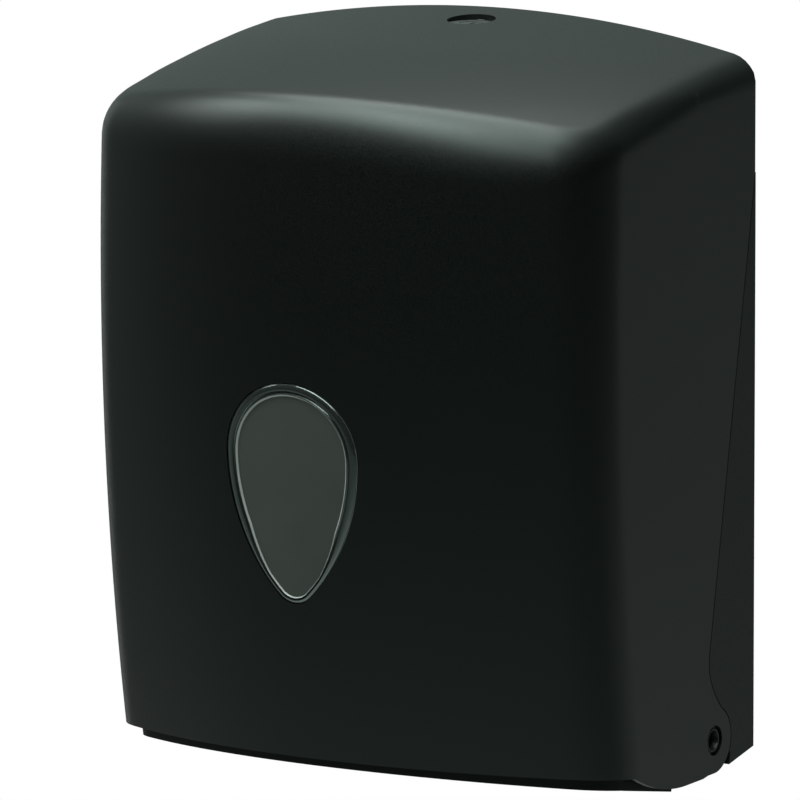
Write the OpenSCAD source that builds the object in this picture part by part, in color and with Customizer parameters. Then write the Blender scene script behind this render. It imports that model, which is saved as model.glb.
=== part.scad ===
// Wall dispenser for centrefeed paper rolls: a crowned, bowed cover that tips forward on two
// hollow pins, a back plate with side cheeks, and a roll shelf with a tear nozzle below.
// X runs left to right, the wall is the plane Y = 0, the front faces -Y and Z is up.
// The origin is the centre of the four wall screw holes.

/* [Body] */
// Width across the two flat sides
body_w = 280; // [262:1:305]
// Height from the rear lower edge to the crown of the top
body_h = 350; // [335:1:380]
// Greatest depth from the wall to the middle of the front
body_d = 201.5; // [192:0.5:220]
// How far the front bows out between its sides
front_bow = 49; // [43:0.5:56]
// Plan radius of the two front corners
corner_r = 42; // [32:1:50]
// Radius of the front seen from the side
front_side_r = 1305; // [1100:5:2000]
// Height of the fullest part of the front above the rear lower edge
fullest_z = 228; // [210:1:245]
// Rise of the top from its sides to its middle
crown = 16.3; // [13:0.1:20]
// Fall of the top towards the front in degrees
top_fall = 4.3; // [3.5:0.1:5]
// Fall of the shoulders towards the front in degrees
shoulder_fall = 11.3; // [10.5:0.1:12]
// Rise of the shoulder curve above the crown at the wall
shoulder_lift = 17.5; // [15:0.5:18.5]
// Drop of the shoulder curve from its middle to its sides
shoulder_bow = 26; // [22:0.5:30]
// Rounding between the shoulders and the sides
shoulder_r = 9; // [7:0.5:14]
// Depth taken off the upper front edge
brow_cut = 3.5; // [2.5:0.1:4.5]
// Lean of the plane of the upper front edge in degrees
brow_lean = 19; // [16:0.5:22]

/* [Cover] */
// Wall thickness of the cover and of the side cheeks
wall = 2.6; // [2:0.1:3.2]
// Gap between the open back of the cover and the wall
cover_back = 0.5; // [0.3:0.1:2]
// Gap between the cover and the side cheeks
seam_gap = 0.7; // [0.5:0.1:1.2]
// Height of the lower front edge at the corners
hem_corner_z = 5.5; // [4:0.5:9]
// Distance from the wall at which the lower edge reaches the corners
hem_corner_y = 116; // [105:1:125]
// Slope of the lower front edge between the corners and the middle
hem_slope = 0.115; // [0.05:0.005:0.16]

/* [Window] */
// Height of the centre of the round upper end of the window
window_z = 160; // [140:0.5:190]
// Radius of the round upper end
window_r = 36; // [28:0.5:38]
// Radius of the two sides that run down to the tip
window_side_r = 95.5; // [88:0.5:130]
// Radius of the rounded tip
window_tip_r = 12; // [8:1:16]
// Width of the stepped rim round the pane
window_rim = 6.5; // [4:0.5:9]
// Overlap of the lens flange behind the cover
lens_flange = 4; // [3:0.5:6]
// Depth of the rim face below the cover surface
lens_sink = 0.9; // [0.5:0.1:1.2]
// Depth of the pane below the cover surface
pane_sink = 2; // [1.5:0.1:2.5]
// Thickness of the lens flange
flange_t = 1.5; // [1:0.1:2]
// Thickness of the seal between the lens and the cover
seal_t = 0.4; // [0.3:0.1:0.6]
// Width and thickness of the frame that holds the lens from behind
keep_w = 4; // [3:0.5:6]
// Thickness of the holding frame behind the lens
keep_t = 2; // [1.5:0.1:3]

/* [Hinge] */
// Distance of the pins from the wall
pin_y = 38.8; // [37.5:0.1:42]
// Height of the pins above the rear lower edge
pin_z = 9.7; // [9:0.1:11]
// Radius of the pin shank
pin_r = 5; // [4:0.1:5.5]
// Radius of the bore through the pin
pin_bore_r = 3.2; // [2:0.1:3.4]
// Radius of the pin head
pin_head_r = 7; // [6.5:0.1:8]
// Thickness of the pin head
pin_head_t = 1.8; // [1.4:0.1:2]
// Radius of the round ear of the cover
ear_r = 16; // [14:0.1:16.2]
// Depth of the ear boss inside the side wall
ear_boss = 3.4; // [3:0.1:4]
// Radius of the ear boss
ear_boss_r = 11; // [9:0.5:12]
// Thickness of the lugs that carry the pins
lug_t = 9; // [7:0.5:10]
// Height of the lug root above the pins
lug_rise = 40; // [30:1:50]
// Radius of the lugs round the pins
lug_r = 11.5; // [9:0.5:12]
// Thickness of the sliding washers
hinge_washer_t = 0.8; // [0.6:0.1:1]
// Radius of the sliding washers
hinge_washer_r = 9; // [8:0.5:10]
// Thickness of the snap rings on the pins
clip_t = 0.8; // [0.6:0.1:1]
// Radius of the snap rings
clip_r = 8; // [7:0.5:9]

/* [Back plate] */
// Height of the wall screw centre above the rear lower edge
mount_z = 175; // [165:1:185]
// Distance between the wall holes left to right
mount_x_spacing = 180; // [160:1:200]
// Distance between the wall holes top to bottom
mount_z_spacing = 210; // [190:1:220]
// Radius of the wall holes
mount_hole_r = 2.7; // [2:0.1:3.5]
// Distance of the panel front from the wall
panel_y = 9; // [8:0.5:10]
// Thickness of the panel and its border
panel_t = 3; // [2.4:0.1:3.4]
// Distance of the panel's upper edge below the crown of the top
panel_drop = 22; // [20:1:32]
// Distance of the cheek tip from the wall
cheek_tip_y = 45; // [43.5:0.5:47]
// Height of the cheek tip
cheek_tip_z = 46; // [42:0.5:52]
// Depth of the cheek toe below the rear lower edge
toe_drop = 4.6; // [3:0.1:5]
// Height at which the seam meets the wall
seam_top_z = 280; // [266:1:292]
// Gap between the panel and the inside of the cover
panel_gap = 3.4; // [2.5:0.1:4]
// Height of the cut-off upper corners of the panel
panel_clip_h = 28; // [24:1:32]
// Width of the cut-off upper corners of the panel
panel_clip_w = 13; // [11:1:18]
// Radius of the bosses round the wall holes
wall_boss_r = 7; // [6:0.5:9]
// Radius of the bosses round the small screws
screw_boss_r = 4; // [3.5:0.1:4.5]
// Depth of the stiffening ribs in front of the panel
rib_d = 2; // [1:0.5:2.5]
// Thickness of the stiffening ribs
rib_t = 2; // [1.5:0.1:3]
// Distance of the inner ribs from the middle
rib_x = 66; // [55:1:75]
// Height of the lower end of the ribs
rib_z = 60; // [50:1:70]

/* [Roll shelf] */
// Height of the underside of the shelf
shelf_z = 16; // [15:0.5:18]
// Thickness of the shelf and its skirts
shelf_t = 3; // [2.4:0.1:3.4]
// Inset of the shelf skirt from the cover surface
shelf_inset = 7.5; // [6.5:0.5:10]
// Gap between the narrow rear of the shelf and the hinge pins
shelf_gap = 1.1; // [0.8:0.1:3]
// Gap between the wide front of the shelf and the pin lugs
shelf_lug_gap = 4; // [3:0.5:8]
// Distance of the outer shelf screws from the ends of the shelf
shelf_screw_in = 26; // [20:1:30]
// Distance of the inner shelf screws from the middle
shelf_screw_mid = 40; // [35:1:50]
// Height of the skirt's lower edge at the corners
lip_corner_z = -1; // [-2:0.5:2]
// Slope of the skirt's lower edge towards the middle
lip_slope = 0.15; // [0.08:0.005:0.18]
// Slope of the skirt's lower edge along the sides
lip_side_slope = 0.2; // [0.1:0.002:0.22]
// Distance from the wall of the rear end of the lip below the cover
lip_end_y = 68; // [64:1:75]
// Height of the lower edge of the skirts behind the lip
lip_rear_z = -3; // [-4:0.5:0]
// Height of the rear flange above the shelf
shelf_back_h = 19; // [16:1:24]
// Thickness of the rear flange
shelf_back_t = 2.5; // [2:0.1:3]
// Distance of the roll centre from the wall
roll_y = 92; // [90:0.5:95]
// Radius of the ribs that centre the roll
roll_r = 80; // [70:1:82]
// Height of the ribs that centre the roll
roll_rib_h = 9; // [5:1:12]

/* [Nozzle] */
// Radius of the nozzle tube in the shelf
tube_r = 31.7; // [28:0.1:34]
// Radius of the flange on the shelf
collar_r = 40; // [38:0.5:44]
// Thickness of the flange
collar_t = 2.4; // [2:0.1:3]
// Radius of the paper throat
throat_r = 15; // [11:0.5:15.5]
// Wall of the throat tube
throat_wall = 3; // [2.5:0.1:3.4]
// Height of the lower end of the throat
throat_z = -6; // [-7:0.5:-4]
// Height of the ledge that carries the paper brake
ledge_z = 6.5; // [6:0.1:7]
// Thickness of the rubber paper brake
brake_t = 1.6; // [1.2:0.1:2]
// Radius of the hole in the paper brake
brake_hole_r = 7; // [6:0.1:8]
// Number of slits in the paper brake
brake_slits = 6; // [4:1:8]
// Thickness of the ring over the paper brake
brake_ring_t = 0.9; // [0.6:0.1:1.1]
// Height of the clamp nut
nut_h = 7; // [6:0.5:8]
// Radius of the clamp nut
nut_r = 39; // [37:0.5:42]
// Number of grip flutes round the clamp nut
nut_flutes = 16; // [10:1:20]
// Height of the tear ring
tear_h = 6; // [5:0.5:8]
// Width of the tear ring
tear_w = 4.4; // [3.5:0.1:5]
// Number of teeth of the tear ring
tear_teeth = 24; // [16:1:32]

/* [Lock] */
// Distance of the lock to the right of the middle
lock_x = 0; // [-4:0.5:6]
// Distance of the lock from the wall
lock_y = 29.5; // [28:0.5:33]
// Radius of the recess in the top
lock_recess_r = 11.8; // [11:0.1:13]
// Depth of the recess
lock_recess = 4; // [3.5:0.1:4.5]
// Radius of the lock head
lock_head_r = 11.4; // [9:0.1:11.5]
// Thickness of the lock head
lock_head_t = 2; // [1.5:0.1:2.4]
// Radius of the lock tube
lock_tube_r = 8; // [7.5:0.1:8.5]
// Length of the lock tube below its head
lock_tube_l = 13; // [12.5:0.5:15]
// Radius of the turning plug
plug_r = 6; // [5.5:0.1:6.5]
// Width of the key slot
key_slot_w = 1.2; // [0.8:0.1:2]
// Side of the square end of the plug
plug_square = 6; // [5:0.1:6.4]
// Thickness of the cam
cam_t = 2.5; // [2:0.1:3]
// Reach of the cam from the lock axis
cam_reach = 19.5; // [18:0.5:21]
// Width of the cam arm
cam_w = 8; // [6:0.5:9]
// Thickness of the lock washer
lock_washer_t = 0.8; // [0.6:0.1:1]
// Height of the lock nut
lock_nut_h = 5; // [4:0.5:5.5]
// Width of the lock nut across its flats
lock_nut_af = 22; // [20:0.5:23]
// Thickness of the keeper plate
keeper_t = 2; // [1.5:0.1:2.5]
// Width of the keeper tab
keeper_w = 9; // [7:0.5:10]
// Height of the keeper foot on the panel
keeper_foot_h = 20; // [18:1:24]
// Distance between the two keeper screws
keeper_screw_gap = 12; // [11:0.5:13]

/* [Fasteners] */
// Shank radius of the plastic screws
screw_r = 1.5; // [1.2:0.1:2]
// Head radius of the plastic screws
screw_head_r = 3; // [2.5:0.1:3.5]
// Head height of the plastic screws
screw_head_h = 2; // [1.5:0.1:2.5]
// Length of the plastic screws under the head
screw_l = 8; // [7:0.5:8.5]

/* [Fits] */
// Radial clearance of turning shafts
run_fit = 0.05; // [0.02:0.01:0.1]
// Clearance round parts that are pushed together
slip_fit = 0.3; // [0.2:0.05:0.4]
// Radial clearance of screws in their holes
screw_fit = 0.05; // [0.03:0.01:0.1]
// Radial clearance of the hinge pins in their lugs
pin_seat = 0.02; // [0.02:0.01:0.05]

/* [Hidden] */
$fn = 96;
fine = 1440;
half_w = body_w / 2;
bow_r = (half_w * half_w + front_bow * front_bow) / (2 * front_bow);
crown_r = (half_w * half_w + crown * crown) / (2 * crown);
shoulder_bow_r = (half_w * half_w + shoulder_bow * shoulder_bow) / (2 * shoulder_bow);
// Lengths that reach past the whole body
far = 2 * body_h;
below = body_d / 3;
deep = 2 * below;
// Panel: half width inside the cover and height up to which it fills the whole width
panel_half_w = half_w - wall - panel_gap;
panel_wide_z = seam_top_z - (panel_y + 3) * (seam_top_z - cheek_tip_z) / cheek_tip_y;
panel_top = body_h - panel_drop;
rib_top = panel_top - panel_clip_h - 10;
// Step that keeps the shoulder sides just outside the flat sides
side_step = 0.05;
// Upper front edge at the middle: its place, the two faces that meet there and the face between them
brow_y = body_d - pow(body_h - fullest_z, 2) / (2 * front_side_r);
brow_z = body_h + shoulder_lift - brow_y * tan(shoulder_fall);
brow_plan_r = bow_r * cos(brow_lean);
brow_front_a = atan((brow_z - fullest_z) / front_side_r) - 90 - brow_lean;
brow_top_a = 180 - shoulder_fall - brow_lean;
brow_face_a = (brow_front_a + brow_top_a) / 2;
// Lower edge of the cover
hem_low_z = pin_z - ear_r;
hem_low_y = pin_y + ear_r * 1.1;
hem_rise = hem_corner_z - hem_low_z;
hem_run = hem_corner_y - hem_low_y;
hem_r = (hem_run * hem_run + hem_rise * hem_rise) / (2 * hem_rise);
lip_end_z = lip_corner_z - lip_side_slope * (hem_corner_y - lip_end_y);
// Window: height of the tip circle below the round end and of its contact with the sides
tip_drop = sqrt(pow(window_side_r - window_tip_r, 2) - pow(window_side_r - window_r, 2));
lens_back = wall + seal_t + flange_t;
// Hinge, measured along X from the middle
ear_in = half_w - wall - ear_boss;
lug_out = ear_in - hinge_washer_t - 0.2;
lug_in = lug_out - lug_t;
pin_end = lug_in - 0.1 - clip_t - 1;
notch_r = ear_r + seam_gap - 0.1;
toe_y = pin_y - 0.9 * ear_r;
toe_z = pin_z - ear_r / 2;
// Lock heights
lock_face_z = body_h - lock_y * tan(top_fall) - lock_x * lock_x / (2 * crown_r);
lock_floor_z = lock_face_z - lock_recess;
lock_pad_z = lock_floor_z - 3;
plug_end_z = lock_floor_z - lock_tube_l - 0.2;
cam_z = plug_end_z - 0.2 - cam_t;
square_end_z = cam_z - 0.2;
keeper_y = lock_y + cam_w / 2 + 0.6;
keeper_top = cam_z + cam_t + 1.5;
keeper_arm_z = cam_z - 14;
keeper_x = lock_x - cam_reach + 1;
keeper_mid = keeper_x + keeper_w / 2;
keeper_left = keeper_mid - keeper_screw_gap / 2 - screw_boss_r - 0.5;
keeper_foot_w = 2 * (keeper_mid - keeper_left);
screw_z = shelf_z + shelf_t + shelf_back_h / 2 + 1;
shelf_half_w = pin_end - shelf_gap;
shelf_wide_y = pin_y + lug_r + shelf_lug_gap;
shelf_screw_out = shelf_half_w - shelf_screw_in;
shelf_screw_x = [-shelf_screw_out, -shelf_screw_mid, shelf_screw_mid, shelf_screw_out];
keeper_screw_z = keeper_arm_z - keeper_foot_h / 2 - 1;
keeper_screw_x = [keeper_mid - keeper_screw_gap / 2, keeper_mid + keeper_screw_gap / 2];
nut_z = shelf_z - nut_h;
tube_z = ledge_z - 2.5;

// An outline with a bowed front at u = front, rounded front corners and straight sides, cut inwards by d
module bowed_section(front, bow, rc, d) {
    cu = front - bow;
    qv = half_w - rc;
    qu = cu + sqrt(pow(bow - rc, 2) - qv * qv);
    back = front - far;
    polygon([[back, d - half_w], [qu, d - half_w], [qu, half_w - d], [back, half_w - d]]);
    intersection() {
        translate([cu, 0]) circle(r = bow - d, $fn = fine);
        polygon([[cu, 0], [cu + 3 * (qu - cu), -3 * qv], [cu + 3 * (qu - cu), 3 * qv]]);
    }
    for (s = [-1, 1]) translate([qu, s * qv]) circle(r = rc - d);
}

// Front and sides: the plan outline swept about a level axis far behind the wall
module barrel(d) translate([0, front_side_r - body_d, fullest_z]) rotate([0, 90, 0])
    rotate([0, 0, -110]) rotate_extrude(angle = 40, $fn = fine)
        bowed_section(front_side_r, bow_r, corner_r, d);

// Crowned top that falls towards the front
module crown_roll(d) translate([0, 0, body_h]) rotate([90 + top_fall, 0, 0])
    translate([0, -crown_r, -body_d / 2]) cylinder(r = crown_r - d, h = far, $fn = fine);

// Rounded shoulders that fall faster than the crown
module shoulders(d) translate([0, 0, body_h + shoulder_lift]) rotate([90 + shoulder_fall, 0, 0])
    translate([0, 0, -body_d / 2]) rotate([0, 0, 90]) linear_extrude(far)
        bowed_section(0, shoulder_bow_r, shoulder_r, d - side_step);

// Upper front edge, taken off by a cone about an axis that leans back
module brow(d) {
    top_r = brow_plan_r - (brow_cut + d) / cos(brow_face_a);
    translate([0, -brow_y, brow_z]) rotate([-brow_lean, 0, 0]) translate([0, brow_plan_r, -body_h * 1.4])
        cylinder(r1 = top_r + body_h * 1.4 * tan(brow_face_a), r2 = top_r - body_h * 0.4 * tan(brow_face_a),
            h = body_h * 1.8, $fn = 720);
}

// Whole outer form of the dispenser, cut inwards by d
module body_form(d) intersection() {
    barrel(d);
    crown_roll(d);
    shoulders(d);
    brow(d);
}

// A side view outline given as [distance from the wall, height], swept along X
module side_slab(x0, x1) translate([x0, 0, 0]) rotate([90, 0, 90]) linear_extrude(x1 - x0) mirror([1, 0])
    children();

// Side cheek seen from the side, without the notch for the ear
module cheek_outline() polygon([[0, 0], [toe_y, -toe_drop], [toe_y - 1.2, toe_z], [pin_y - 2, toe_z],
    [pin_y - 2, pin_z + ear_r + 1], [cheek_tip_y, cheek_tip_z], [0, seam_top_z]]);

// Everything behind the seam that the cover leaves free
module seam_zone() translate([seam_gap, 0]) polygon([[-below, -deep], [pin_y - seam_gap, -deep],
    [pin_y - seam_gap, pin_z], [pin_y - 2, pin_z + ear_r + 1], [cheek_tip_y, cheek_tip_z],
    [0, seam_top_z], [-below, seam_top_z + below * (seam_top_z - cheek_tip_z) / cheek_tip_y]]);

// Everything below the lower edge of the cover
module hem_zone() {
    translate([-below, -deep]) square([far, deep + hem_low_z]);
    difference() {
        polygon([[hem_low_y, -deep], [hem_low_y, hem_corner_z], [hem_corner_y, hem_corner_z],
            [hem_corner_y + far, hem_corner_z + hem_slope * far], [hem_corner_y + far, -deep]]);
        translate([hem_low_y, hem_low_z + hem_r]) circle(r = hem_r, $fn = 720);
    }
}

// Drop-shaped outline of the window, grown by g
module drop(g) {
    side = window_side_r - window_r;
    foot = (window_side_r + g) * tip_drop / (window_side_r - window_tip_r);
    circle(r = window_r + g, $fn = 180);
    intersection() {
        translate([side, 0]) circle(r = window_side_r + g, $fn = 360);
        translate([-side, 0]) circle(r = window_side_r + g, $fn = 360);
        translate([-far / 2, -foot]) square([far, foot]);
    }
    translate([0, -tip_drop]) circle(r = window_tip_r + g);
}

// The window outline swept through the front
module drop_bar(g) translate([0, -body_d / 2, window_z]) rotate([90, 0, 0]) linear_extrude(body_d)
    drop(g);

// A ring of the window outline that follows the front between two depths below its surface
module drop_ring(outer, inner, top, bottom) difference() {
    intersection() {
        drop_bar(outer);
        barrel(top);
    }
    barrel(bottom);
    drop_bar(inner);
}

// A round bar along X at the hinge axis
module hinge_bar(x0, x1, r) translate([x0, -pin_y, pin_z]) rotate([0, 90, 0]) cylinder(r = r, h = x1 - x0);

// A round bar along Z
module post(x, y, z0, z1, r) translate([x, -y, z0]) cylinder(r = r, h = z1 - z0);

// A screw along Y whose head rests on a face at distance y from the wall
module wall_screw(x, z, y) translate([x, -y, z]) rotate([90, 0, 0]) {
    difference() {
        cylinder(r = screw_head_r, h = screw_head_h);
        for (a = [0, 90]) rotate([0, 0, a])
            translate([-screw_r, -0.4, screw_head_h / 2]) cube([2 * screw_r, 0.8, screw_head_h]);
    }
    translate([0, 0, -screw_l]) cylinder(r = screw_r, h = screw_l);
}

// Turns the drawing so that its origin is the centre of the wall holes
module from_mount() translate([0, 0, -mount_z]) children();

// Outline of the panel, cut inwards by i
module panel_outline(i) {
    right = [[half_w - i, i], [half_w - i, panel_wide_z - i / 2],
        [panel_half_w - i, panel_wide_z + 12 - i / 2],
        [panel_half_w - i, panel_top - panel_clip_h - i / 2],
        [panel_half_w - panel_clip_w - i / 2, panel_top - i]];
    left = [for (k = [len(right) - 1 : -1 : 0]) [-right[k].x, right[k].y]];
    polygon(concat(right, left));
}

module wall_holes() for (x = [-1, 1]) for (z = [-1, 1])
    translate([x * mount_x_spacing / 2, 0, mount_z + z * mount_z_spacing / 2]) rotate([90, 0, 0]) children();

// A round bar along Y from distance y0 to distance y1 from the wall
module wall_bar(x, z, y0, y1, r) translate([x, -y0, z]) rotate([90, 0, 0]) cylinder(r = r, h = y1 - y0);

// Moulded back plate: panel, border, cheeks, pin lugs, screw bosses and ribs
module back_plate() color("#1d2220") from_mount() difference() {
    union() {
        difference() {
            rotate([90, 0, 0]) linear_extrude(panel_y) panel_outline(0);
            translate([0, 1, 0]) rotate([90, 0, 0]) linear_extrude(panel_y - panel_t + 1)
                panel_outline(panel_t);
        }
        for (s = [0, 1]) mirror([s, 0, 0]) {
            difference() {
                side_slab(half_w - wall, half_w) cheek_outline();
                hinge_bar(half_w - wall - 1, half_w + 1, notch_r);
            }
            side_slab(lug_in, lug_out) polygon([[panel_y - 1, pin_z + lug_rise], [panel_y - 1, 2],
                [pin_y, pin_z - lug_r], [pin_y, pin_z + lug_r]]);
            hinge_bar(lug_in, lug_out, lug_r);
            for (x = [rib_x, half_w - 20]) translate([x - rib_t / 2, -panel_y - rib_d, rib_z])
                cube([rib_t, rib_d + 1, rib_top - rib_z]);
        }
        wall_holes() cylinder(r = wall_boss_r, h = panel_y);
        for (x = shelf_screw_x) wall_bar(x, screw_z, 0.5, panel_y - 1, screw_boss_r);
        for (x = keeper_screw_x) wall_bar(x, keeper_screw_z, 0.5, panel_y - 1, screw_boss_r);
    }
    wall_holes() translate([0, 0, -1]) cylinder(r = mount_hole_r, h = panel_y + 2);
    hinge_bar(-half_w, half_w, pin_r + pin_seat);
    for (x = shelf_screw_x) wall_bar(x, screw_z, -1, panel_y + 1, screw_r + screw_fit);
    for (x = keeper_screw_x) wall_bar(x, keeper_screw_z, -1, panel_y + 1, screw_r + screw_fit);
}

// Everything below the lower edge of the shelf skirt
module lip_zone() polygon([[-below, -deep], [-below, lip_rear_z], [lip_end_y - 2, lip_rear_z],
    [lip_end_y, lip_end_z], [hem_corner_y, lip_corner_z],
    [hem_corner_y + far, lip_corner_z + lip_slope * far], [hem_corner_y + far, -deep]]);

// Shelf that carries the roll, with a front skirt, side skirts and a rear flange
module roll_shelf() color("#1a1f1d") from_mount() difference() {
    union() {
        intersection() {
            barrel(shelf_inset);
            translate([-half_w, -body_d, shelf_z]) cube([body_w, body_d - shelf_wide_y, shelf_t]);
        }
        intersection() {
            difference() {
                barrel(shelf_inset);
                barrel(shelf_inset + shelf_t);
            }
            translate([-half_w, -body_d, -below])
                cube([body_w, body_d - shelf_wide_y, shelf_z + shelf_t + below]);
        }
        translate([-shelf_half_w, -shelf_wide_y - shelf_t, shelf_z])
            cube([2 * shelf_half_w, shelf_wide_y + shelf_t - panel_y, shelf_t]);
        for (s = [0, 1]) mirror([s, 0, 0]) {
            translate([shelf_half_w - shelf_t, -shelf_wide_y - shelf_t, -below])
                cube([shelf_t, shelf_wide_y + shelf_t - panel_y, shelf_z + shelf_t + below]);
            translate([shelf_half_w - shelf_t, -shelf_wide_y - shelf_t, -below])
                cube([half_w - shelf_inset - shelf_half_w + shelf_t / 2, shelf_t, shelf_z + shelf_t + below]);
        }
        translate([-shelf_half_w, -panel_y - shelf_back_t, shelf_z])
            cube([2 * shelf_half_w, shelf_back_t, shelf_t + shelf_back_h]);
        intersection() {
            difference() {
                post(0, roll_y, shelf_z + 1, shelf_z + shelf_t + roll_rib_h, roll_r + 2);
                post(0, roll_y, shelf_z, shelf_z + shelf_t + roll_rib_h + 1, roll_r);
            }
            for (s = [0, 1]) mirror([s, 0, 0])
                translate([roll_r * 0.6, -roll_y - roll_r, 0]) cube([roll_r, 2 * roll_r, 80]);
        }
    }
    side_slab(-half_w, half_w) lip_zone();
    post(0, roll_y, 0, shelf_z + shelf_t + 1, tube_r + slip_fit);
    for (x = shelf_screw_x) wall_bar(x, screw_z, 0, panel_y + shelf_back_t + 1, screw_r + slip_fit);
}

module shelf_screws() color("#8d9296") from_mount()
    for (x = shelf_screw_x) wall_screw(x, screw_z, panel_y + shelf_back_t);

// Funnel that leads the paper out of the middle of the roll
module nozzle_collar() color("#6f7673") from_mount() translate([0, -roll_y, 0]) rotate_extrude() polygon([
    [throat_r, throat_z], [throat_r + throat_wall, throat_z], [throat_r + throat_wall, tube_z],
    [tube_r, tube_z],
    [tube_r, shelf_z + shelf_t], [collar_r, shelf_z + shelf_t], [collar_r, shelf_z + shelf_t + collar_t],
    [tube_r - 2.5, shelf_z + shelf_t + collar_t], [throat_r + 7, ledge_z + brake_t + brake_ring_t],
    [throat_r + 7, ledge_z], [throat_r, ledge_z]]);

// Fluted nut that clamps the funnel to the shelf
module nozzle_nut() color("#6f7673") from_mount() difference() {
    post(0, roll_y, nut_z, shelf_z, nut_r);
    post(0, roll_y, nut_z - 1, shelf_z + 1, tube_r + slip_fit / 2);
    for (i = [0 : nut_flutes - 1]) translate([0, -roll_y, 0]) rotate([0, 0, i * 360 / nut_flutes])
        translate([nut_r + 1.2, 0, nut_z - 1]) cylinder(r = 3, h = nut_h + 2);
}

// Rubber star that grips the paper
module paper_brake() color("#26292b") from_mount() difference() {
    post(0, roll_y, ledge_z, ledge_z + brake_t, throat_r + 6.7);
    post(0, roll_y, ledge_z - 1, ledge_z + brake_t + 1, brake_hole_r);
    for (i = [0 : brake_slits - 1]) translate([0, -roll_y, ledge_z - 1]) rotate([0, 0, i * 360 / brake_slits])
        translate([0, -0.5, 0]) cube([throat_r - 1, 1, brake_t + 2]);
}

module brake_ring() color("#6f7673") from_mount() difference() {
    post(0, roll_y, ledge_z + brake_t, ledge_z + brake_t + brake_ring_t, throat_r + 6.8);
    post(0, roll_y, ledge_z, ledge_z + brake_t + brake_ring_t + 1, throat_r + 2);
}

// Toothed ring at the end of the throat
module tear_ring() color("#9aa09d") from_mount() {
    inner = throat_r + throat_wall + 0.1;
    difference() {
        post(0, roll_y, throat_z, throat_z + tear_h, inner + tear_w);
        post(0, roll_y, throat_z - 1, throat_z + tear_h + 1, inner);
        for (i = [0 : tear_teeth - 1]) translate([0, -roll_y, throat_z]) rotate([0, 0, i * 360 / tear_teeth])
            rotate([45, 0, 0]) translate([inner - 1, -1.2, -1.2]) cube([tear_w + 2, 2.4, 2.4]);
    }
}

// Steel plate on the panel whose upright tab stops the cam
module keeper_plate() color("#9da2a5") from_mount() difference() {
    union() {
        translate([keeper_left, -panel_y - keeper_t, keeper_arm_z - keeper_foot_h])
            cube([keeper_foot_w, keeper_t, keeper_foot_h + keeper_t]);
        translate([keeper_left, -keeper_y - keeper_t, keeper_arm_z])
            cube([keeper_x + keeper_w - keeper_left, keeper_y + keeper_t - panel_y, keeper_t]);
        translate([keeper_x, -keeper_y - keeper_t, keeper_arm_z])
            cube([keeper_w, keeper_t, keeper_top - keeper_arm_z]);
    }
    for (x = keeper_screw_x) wall_bar(x, keeper_screw_z, 0, panel_y + keeper_t + 1, screw_r + slip_fit);
}

module keeper_screws() color("#8d9296") from_mount()
    for (x = keeper_screw_x) wall_screw(x, keeper_screw_z, panel_y + keeper_t);

// Hollow pin with a flat head, pushed in from the right
module hinge_pin() difference() {
    union() {
        hinge_bar(pin_end, half_w - slip_fit, pin_r);
        hinge_bar(half_w - slip_fit - pin_head_t, half_w - slip_fit, pin_head_r);
    }
    hinge_bar(pin_end - 1, half_w, pin_bore_r);
    difference() {
        hinge_bar(lug_in - clip_t - 0.15, lug_in - 0.05, pin_r + 1);
        hinge_bar(lug_in - clip_t - 1, lug_in + 1, pin_r - 0.6);
    }
}

module hinge_pin_right() color("#34393a") from_mount() hinge_pin();

module hinge_pin_left() color("#34393a") from_mount() mirror([1, 0, 0]) hinge_pin();

module hinge_washers() color("#d8d8d2") from_mount() for (s = [0, 1]) mirror([s, 0, 0]) difference() {
    hinge_bar(lug_out + 0.1, ear_in - 0.1, hinge_washer_r);
    hinge_bar(lug_out - 1, ear_in + 1, pin_r + run_fit);
}

module pin_clips() color("#8d9296") from_mount() for (s = [0, 1]) mirror([s, 0, 0]) difference() {
    hinge_bar(lug_in - clip_t - 0.1, lug_in - 0.1, clip_r);
    hinge_bar(lug_in - clip_t - 1, lug_in + 1, pin_r - 0.55);
    translate([lug_in - clip_t - 1, -pin_y - clip_r - 1, pin_z - 2]) cube([clip_t + 2, clip_r + 1, 4]);
}

// A block round the whole body, grown by g, whose rear face stands at y
module room(g, y) translate([-half_w - wall - g, -body_d - wall - g, -below - g])
    cube([body_w + 2 * (wall + g), body_d + wall + g + y, body_h + 2 * (below + g)]);

// Cover: one shell that forms the front, the top and most of the sides
module front_cover() color("#161b19") from_mount() difference() {
    union() {
        difference() {
            intersection() {
                body_form(0);
                room(0, -cover_back);
            }
            intersection() {
                body_form(wall);
                room(wall, 4 * wall);
            }
            side_slab(-half_w - 1, half_w + 1) seam_zone();
            side_slab(-half_w - 1, half_w + 1) hem_zone();
        }
        for (s = [0, 1]) mirror([s, 0, 0]) {
            hinge_bar(half_w - wall, half_w, ear_r);
            hinge_bar(ear_in, half_w - wall / 2, ear_boss_r);
        }
        intersection() {
            body_form(0);
            post(lock_x, lock_y, lock_pad_z, body_h + 5, lock_recess_r + 3);
        }
    }
    for (s = [0, 1]) mirror([s, 0, 0]) {
        hinge_bar(ear_in - 1, half_w + 1, pin_r + run_fit);
        hinge_bar(half_w - slip_fit - pin_head_t - slip_fit, half_w + 1, pin_head_r + slip_fit);
    }
    post(lock_x, lock_y, lock_floor_z, body_h + 10, lock_recess_r);
    post(lock_x, lock_y, lock_pad_z - 1, body_h, lock_tube_r + slip_fit / 2);
    drop_bar(0);
}

// Smoked lens with a stepped rim and a flange behind the cover
module window_lens() color([0.25, 0.28, 0.27, 0.6]) from_mount() difference() {
    union() {
        intersection() {
            drop_bar(lens_flange);
            barrel(wall + seal_t);
        }
        intersection() {
            drop_bar(-slip_fit);
            barrel(lens_sink);
        }
    }
    barrel(lens_back);
    difference() {
        drop_bar(-window_rim);
        barrel(pane_sink);
    }
}

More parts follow.
